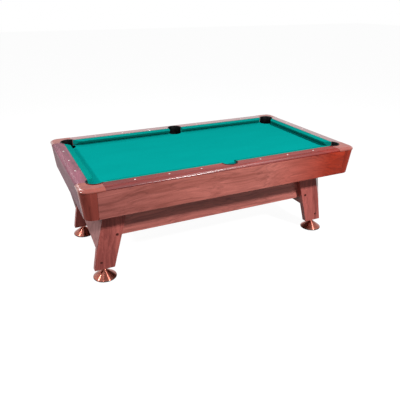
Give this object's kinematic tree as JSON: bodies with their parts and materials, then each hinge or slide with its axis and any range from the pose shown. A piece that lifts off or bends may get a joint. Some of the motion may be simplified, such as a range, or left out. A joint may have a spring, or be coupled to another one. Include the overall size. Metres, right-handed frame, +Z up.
{
  "type": "billiard table",
  "caption": "Billiard table with cloth bed, cushioned wood rails, drop pockets, leaning aprons, splayed plate legs and conical leveling feet.",
  "frame": {"origin": "on the floor under the middle of the table", "axes": "+X along the length, -Y towards the near long side, +Z up"},
  "size_m": [2.172, 1.256, 0.7978],
  "materials": {
    "bed_board": "raw fibreboard",
    "bed_cloth": "napped billiard cloth",
    "frame_timber": "sawn timber",
    "rail_wood": "lacquered rosewood-grain facing",
    "cushion_cloth": "billiard cloth stretched over rubber",
    "corner_cap": "glossy moulding in rosewood colour",
    "pocket_liner": "satin black plastic",
    "apron_wood": "lacquered rosewood-grain facing",
    "post_wood": "glossy dark rosewood facing",
    "leg_wood": "satin rosewood-grain facing",
    "stretcher_wood": "satin rosewood-grain facing",
    "leg_bolt": "dark brown enamel",
    "leveler_copper": "polished copper plating",
    "socket_steel": "zinc plated"
  },
  "bodies": {
    "table": {"bed_board": "bed_board", "bed_cloth": "bed_cloth", "cross_member_1": "frame_timber", "cross_member_2": "frame_timber", "cross_member_3": "frame_timber", "cross_member_4": "frame_timber", "rail_long_near": "rail_wood", "rail_long_far": "rail_wood", "rail_end_left": "rail_wood", "rail_end_right": "rail_wood", "cushion_near_left": "cushion_cloth", "cushion_near_right": "cushion_cloth", "cushion_far_left": "cushion_cloth", "cushion_far_right": "cushion_cloth", "cushion_end_left": "cushion_cloth", "cushion_end_right": "cushion_cloth", "corner_cap_near_left": "corner_cap", "corner_cap_near_right": "corner_cap", "corner_cap_far_left": "corner_cap", "corner_cap_far_right": "corner_cap", "pocket_liner_near_left": "pocket_liner", "pocket_liner_near_right": "pocket_liner", "pocket_liner_far_left": "pocket_liner", "pocket_liner_far_right": "pocket_liner", "pocket_liner_near_side": "pocket_liner", "pocket_liner_far_side": "pocket_liner", "apron_near": "apron_wood", "apron_far": "apron_wood", "apron_left": "apron_wood", "apron_right": "apron_wood", "corner_post_near_left": "post_wood", "corner_post_near_right": "post_wood", "corner_post_far_left": "post_wood", "corner_post_far_right": "post_wood", "leg_near_left": "leg_wood", "leg_near_right": "leg_wood", "leg_far_left": "leg_wood", "leg_far_right": "leg_wood", "leg_wing_near_left": "leg_wood", "leg_wing_near_right": "leg_wood", "leg_wing_far_left": "leg_wood", "leg_wing_far_right": "leg_wood", "stretcher_near": "stretcher_wood", "stretcher_far": "stretcher_wood", "stretcher_left": "stretcher_wood", "stretcher_right": "stretcher_wood", "leg_bolt_near_left": "leg_bolt", "leg_bolt_near_right": "leg_bolt", "leg_bolt_far_left": "leg_bolt", "leg_bolt_far_right": "leg_bolt", "leveler_socket_near_left": "socket_steel", "leveler_socket_near_right": "socket_steel", "leveler_socket_far_left": "socket_steel", "leveler_socket_far_right": "socket_steel"},
    "foot_near_left": {"leveler_near_left": "leveler_copper"},
    "foot_near_right": {"leveler_near_right": "leveler_copper"},
    "foot_far_left": {"leveler_far_left": "leveler_copper"},
    "foot_far_right": {"leveler_far_right": "leveler_copper"}
  },
  "joints": [
    {"name": "foot_near_left_screw", "type": "slide", "parent": "table", "child": "foot_near_left", "axis": [0, 0, 1], "range_m": [-0.02, 0]},
    {"name": "foot_near_right_screw", "type": "slide", "parent": "table", "child": "foot_near_right", "axis": [0, 0, 1], "range_m": [-0.02, 0]},
    {"name": "foot_far_left_screw", "type": "slide", "parent": "table", "child": "foot_far_left", "axis": [0, 0, 1], "range_m": [-0.02, 0]},
    {"name": "foot_far_right_screw", "type": "slide", "parent": "table", "child": "foot_far_right", "axis": [0, 0, 1], "range_m": [-0.02, 0]}
  ]
}
